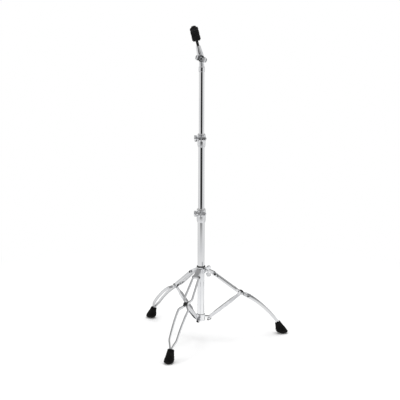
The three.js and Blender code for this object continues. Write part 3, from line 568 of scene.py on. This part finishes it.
def footMesh():
    mesh = bmesh.new()
    rings = []
    for k in range(foot["rings"] + 1):
        down = k / foot["rings"]
        growth, toe, heel, sides = footAt(down)
        along = (down - foot["firstGroove"]) / (foot["lastGroove"] - foot["firstGroove"])
        wave = max(0, sin(2 * pi * along * foot["grooves"])) if 0 < along < 1 else 0
        relief = foot["groove"] * wave ** foot["grooveShape"] if wave > 0 else 0
        radial = between(foot["topHalf"][0], foot["baseHalf"][0], growth) - relief
        tangential = between(foot["topHalf"][1], foot["baseHalf"][1], growth) * sides - relief
        outward = between(foot["top"][0], foot["baseOut"], down) + radial * (toe - heel) / 2
        radial *= (toe + heel) / 2
        made = bmesh.ops.create_circle(mesh, segments=foot["sides"], radius=1)
        centre = Vector((outward, 0, foot["top"][1] * (1 - down)))
        tilt = Matrix.Rotation(-foot["tilt"] * (1 - down), 4, "Y")
        sizes = Matrix.Diagonal((radial * mm, tangential * mm, 1, 1))
        bmesh.ops.transform(mesh, verts=made["verts"], matrix=Matrix.Translation(centre * mm) @ tilt @ sizes)
        rings.append(ringEdges(made["verts"]))
    lofted(mesh, rings, foot["sides"])
    return mesh


for number in (1, 2, 3):
    mesh = footMesh()
    mesh.transform(legPlace(number))
    smooth(newPiece(f"leg_{number}_foot", "boot", mesh, "rubber"), foot["sharp"])
print("feet made")

# Fittings from the frame's own shapes, with their edges rounded: node, look and width of the rounding
castings = [
    ("brace_bracket", "cast_chrome", 0.5),
    ("leg_collar", "cast_chrome", 0.7),
    ("lower_clamp", "tumbled_chrome", 0.7),
    ("upper_clamp", "tumbled_chrome", 0.7),
    ("tilter_base", "cast_chrome", 0.3),
    ("tilter_arm", "cast_chrome", 0.3),
    ("lower_wing_screw", "cast_chrome", 0.8),
    ("upper_wing_screw", "cast_chrome", 0.8),
    ("tilter_wing_screw", "cast_chrome", 0.8),
    ("collar_wing_screw", "cast_chrome", 0.8),
    ("cymbal_wing_nut", "nylon", 0.9),
    ("lower_clamp_nut", "steel", 0.4),
    ("upper_clamp_nut", "steel", 0.4),
    ("tilter_nut", "steel", 0.4),
    ("lower_clamp_liner", "pale_nylon", 0.3),
    ("upper_clamp_liner", "pale_nylon", 0.3),
    ("collar_liner", "nylon", 0.4),
    ("middle_tube_glide", "nylon", 0.4),
    ("top_tube_glide", "nylon", 0.4),
    ("bracket_rivet", "steel", 0.3),
]
for number in (1, 2, 3):
    castings += [
        (f"brace_{number}", "pressed_chrome", 0.4),
        (f"brace_{number}_bush", "nylon", 0.4),
        (f"brace_{number}_pin", "steel", 0.3),
        (f"leg_{number}_waist_bush", "nylon", 0.4),
        (f"leg_{number}_waist_pin", "steel", 0.3),
        (f"leg_{number}_top_pin", "black_steel", 0.3),
    ]
casting = {"merge": 2e-6, "flat": 2.5, "sharp": 42, "segments": 2, "wingLevels": 2}
for node, look, width in castings:
    mesh = bmesh.new()
    mesh.from_mesh(frame["nodes"][node].data)
    bmesh.ops.remove_doubles(mesh, verts=mesh.verts, dist=casting["merge"])
    bmesh.ops.dissolve_limit(
        mesh, angle_limit=radians(casting["flat"]), verts=mesh.verts, edges=mesh.edges,
        use_dissolve_boundaries=False
    )
    bmesh.ops.recalc_face_normals(mesh, faces=mesh.faces)
    piece = newPiece(node, "cast", mesh, look)
    bevel = piece.modifiers.new("rounding", "BEVEL")
    bevel.width = width * mm
    bevel.segments = casting["segments"]
    bevel.limit_method = "ANGLE"
    bevel.angle_limit = radians(casting["sharp"])
    bevel.miter_outer = "MITER_ARC"
    if "wing" in node:
        finer = piece.modifiers.new("rounder outlines", "SUBSURF")
        finer.levels = casting["wingLevels"]
        finer.render_levels = casting["wingLevels"]
    smooth(piece, casting["sharp"])
print("castings made")

# Cymbal seat: everything on the arm's own axis, from the sleeve's foot up
arm = {
    "hubOut": -2.3,
    "hubUp": 1040,
    "facing": radians(-9),
    "lean": radians(14),
    "sleeveBottom": 45.3,
    "sleeveFoot": 18,
}
hub = Matrix.Translation((0, 0, arm["hubUp"] * mm)) @ Matrix.Rotation(arm["facing"], 4, "Z")
hub = axis @ hub @ Matrix.Translation((arm["hubOut"] * mm, 0, 0)) @ Matrix.Rotation(-arm["lean"], 4, "Y")
seatWasher = {"radius": 13, "hole": 4.7, "thickness": 2.5, "edge": 0.4}
felt = {
    "thickness": {"lower_felt": 18, "upper_felt": 16},
    "radius": 15.6,
    "hole": 4.7,
    "edge": 1.8,
    "belly": 0.35,
    "rim": 3,
    "steps": 5,
}
topWasher = {"radius": 15, "hole": 4.4, "thickness": 1.5, "edge": 0.3}


def washer(node, size, bottom):
    outline = ringOutline(size["hole"], size["radius"], bottom, bottom + size["thickness"], size["edge"])
    turnedPiece(node, "disc", outline, hub, "black_steel", mediumSides)
    return bottom + size["thickness"]


# A felt's outline: rounded edges, and sides that swell a little to the middle
def feltOutline(bottom, top):
    edge = felt["edge"]
    flat = felt["radius"] - edge - felt["rim"]
    corner = felt["radius"] - felt["belly"] - edge
    turns = [pi / 2 * k / felt["steps"] for k in range(felt["steps"] + 1)]
    lower = [(corner + edge * sin(turn), bottom + edge * (1 - cos(turn))) for turn in turns]
    upper = [(corner + edge * cos(turn), top - edge * (1 - sin(turn))) for turn in turns]
    middle = (felt["radius"], (bottom + top) / 2)
    outer = [(flat, bottom)] + lower + [middle] + upper + [(flat, top)]
    return [(felt["hole"], bottom)] + outer + [(felt["hole"], top)]


seatBottom = arm["sleeveBottom"] + arm["sleeveFoot"]
feltTop = washer("seat_washer", seatWasher, seatBottom + gap)
for node, thickness in felt["thickness"].items():
    feltBottom = feltTop + gap
    feltTop = feltBottom + thickness
    turnedPiece(node, "pad", feltOutline(feltBottom, feltTop), hub, "felt")
nutBottom = washer("top_washer", topWasher, feltTop + gap) + gap

# The wing nut's round flange: its upper edge is rounded, and its top rises towards the wings
flange = {"hole": 7, "radius": 15.5, "height": 4.8, "foot": 0.3, "edge": 2.2, "edgeShare": 0.3, "rise": 0.6}
inward = flange["edge"] * flange["edgeShare"]
flangeTop = nutBottom + flange["height"]
turnedPiece("cymbal_wing_nut", "flange", [
    (flange["hole"], nutBottom), (flange["radius"] - flange["foot"], nutBottom),
    (flange["radius"], nutBottom + flange["foot"]), (flange["radius"], flangeTop - flange["edge"]),
    (flange["radius"] - inward, flangeTop - inward), (flange["radius"] - flange["edge"], flangeTop),
    (flange["hole"], flangeTop + flange["edge"] * flange["rise"]),
], hub, "nylon", mediumSides)

sleeve = {"inner": 3.3, "outer": 4.4, "foot": 4.9, "edge": 0.3}
turnedPiece("cymbal_sleeve", "tube", [
    (sleeve["inner"], arm["sleeveBottom"]), (sleeve["foot"] - sleeve["edge"], arm["sleeveBottom"]),
    (sleeve["foot"], arm["sleeveBottom"] + sleeve["edge"]), (sleeve["foot"], seatBottom - sleeve["edge"]),
    (sleeve["foot"] - sleeve["edge"], seatBottom), (sleeve["outer"], seatBottom), (sleeve["outer"], feltTop),
    (sleeve["inner"], feltTop),
], hub, "nylon", mediumSides)

rod = {
    "radius": 3,
    "bottom": 25.3,
    "pitch": 1.0,
    "depth": 0.45,
    "threadFrom": 95,
    "turns": 22,
    "nutHeight": 15,
    "pastNut": 1.2,
    "tipCut": 0.8,
}
outline = [(0, rod["bottom"]), (rod["radius"], rod["bottom"]), (rod["radius"], rod["threadFrom"])]
for k in range(rod["turns"]):
    start = rod["threadFrom"] + k * rod["pitch"]
    outline.append((rod["radius"] - rod["depth"], start + rod["pitch"] / 2))
    outline.append((rod["radius"], start + rod["pitch"]))
rodTop = nutBottom + rod["nutHeight"] + rod["pastNut"]
outline += [(rod["radius"] - rod["tipCut"], rodTop), (0, rodTop)]
turnedPiece("cymbal_rod", "thread", outline, hub, "steel", smallSides)
print("seat made")

# The camera's place in metres, its angles in degrees and its focal length in pixels of the frame. The
# floor's and the room's sizes are in metres too
camera = {
    "place": (-0.7141, -3.9118, 1.3127),
    "yaw": 9.1533,
    "pitch": 11.254,
    "roll": 0.19,
    "focal": 1102.9,
    "frameWidth": 400,
    "sensor": 36,
    "farthest": 100,
}
floor = {"size": 60, "grey": 0.98, "shadowReach": 0.6, "plainReach": 1.5}
room = {"radius": 9.0, "lift": 0.004, "steps": 12, "middle": 0.5, "ceiling": 0.34, "daylight": 0.72}


# A point's distance from the stand's axis, its place round it from the camera's side, and its height
def roundAxis(look):
    x, y, height = look.coordinates()
    x = x - axisX
    azimuth = x.maths("ARCTAN2", y * -1) + radians(camera["yaw"])
    return (x * x + y * y) ** 0.5, azimuth, height


# White floor that takes the shadow, and is plain white far off
def floorLook():
    look = Look("floor")
    far = look.remap(roundAxis(look)[0], floor["shadowReach"], floor["plainReach"], 0, 1)
    near = look.node("ShaderNodeBsdfDiffuse", {}, {"Color": grey(floor["grey"])})
    distant = look.node("ShaderNodeEmission", {}, {"Color": grey(1), "Strength": 1.0})
    sockets = {0: far, 1: near.outputs[0], 2: distant.outputs[0]}
    return look.shown(look.node("ShaderNodeMixShader", {}, sockets))


# What only reflections see: white walls and near floor, a dim ceiling, and the dark of a studio
# behind the camera and, fainter, opposite it
def reflectionLook():
    look = Look("reflected_room")
    reach, azimuth, height = roundAxis(look)
    aside = abs(azimuth)
    elevation = (height - room["middle"]).maths("ARCTAN2", reach)
    far = look.remap(reach, 1.1, 2.6, 0, 1)
    low = look.remap(elevation, radians(1), radians(8), 0.97, 0.5)
    front = look.remap(aside, radians(34), radians(46), 1, 0) * far * low
    back = look.remap(aside, radians(150), radians(164), 0, 0.8) * far
    rear = look.remap(aside, radians(112), radians(140), 0, 0.32) * look.remap(reach, 2.0, 4.5, 1, 0.25)
    level = (1 - front) * (1 - back) * (1 - rear) * look.remap(reach, 0.25, 1.3, 1.04, 0.8)
    ceiling = look.remap(elevation, radians(14), radians(34), 0, 1)
    level = level + (room["ceiling"] - level) * ceiling
    level = level + look.remap(elevation, radians(66), radians(76), 0, 0.4)
    return look.shown(look.node("ShaderNodeEmission", {}, {"Color": level, "Strength": 1.0}))


# White to the camera and in reflections, dimmer as light on the stand
def worldLook():
    look = Look("room", isWorld=True)
    rays = look.node("ShaderNodeLightPath", {}, {}).outputs
    seen = Value(look, rays["Is Camera Ray"])
    for kind in ("Is Glossy Ray", "Is Transmission Ray"):
        seen = seen.maths("MAXIMUM", rays[kind])
    sockets = {"Color": grey(1), "Strength": look.remap(seen, 0, 1, room["daylight"], 1)}
    return look.shown(look.node("ShaderNodeBackground", {}, sockets))


mesh = bmesh.new()
bmesh.ops.create_grid(mesh, x_segments=1, y_segments=1, size=floor["size"] / 2)
newObject("floor", mesh, floorLook())

# A dome and a floor disc, seen in reflections alone
outline = [(0, room["lift"])]
for k in range(room["steps"] + 1):
    turn = pi / 2 * k / room["steps"]
    outline.append((room["radius"] * cos(turn), room["lift"] + room["radius"] * sin(turn)))
mesh = spun(outline)
mesh.transform(axis)
roomPiece = newObject("reflected_room", mesh, reflectionLook())
for kind in ("camera", "diffuse", "shadow", "transmission", "volume_scatter"):
    setattr(roomPiece, "visible_" + kind, False)
scene.world = worldLook()

lamps = {
    "overhead": {"place": (axisX + 0.4, 0.6, 3.6), "size": (3.2, 3.2), "power": 62},
    "left_side": {"place": (axisX - 3.2, -1.6, 1.8), "size": (1.6, 2.4), "power": 22},
}
lampAim = Vector((axisX, 0, 0.5))
for name, values in lamps.items():
    lamp = bpy.data.lights.new(name, "AREA")
    lamp.shape = "RECTANGLE"
    lamp.size, lamp.size_y = values["size"]
    lamp.energy = values["power"]
    softbox = bpy.data.objects.new(name, lamp)
    scene.collection.objects.link(softbox)
    softbox.location = values["place"]
    softbox.rotation_euler = (lampAim - Vector(values["place"])).to_track_quat("-Z", "Y").to_euler()
    softbox.visible_glossy = False

lens = bpy.data.cameras.new("view")
lens.sensor_width = camera["sensor"]
lens.lens = camera["focal"] * camera["sensor"] / camera["frameWidth"]
lens.clip_end = camera["farthest"]
eye = bpy.data.objects.new("view", lens)
scene.collection.objects.link(eye)
eye.location = camera["place"]
turn = Matrix.Rotation(-radians(camera["yaw"]), 4, "Z")
turn = turn @ Matrix.Rotation(radians(90 - camera["pitch"]), 4, "X")
turn = turn @ Matrix.Rotation(radians(camera["roll"]), 4, "Z")
eye.rotation_euler = turn.to_euler()
scene.camera = eye
scene.view_settings.view_transform = "Standard"
print("stage made")
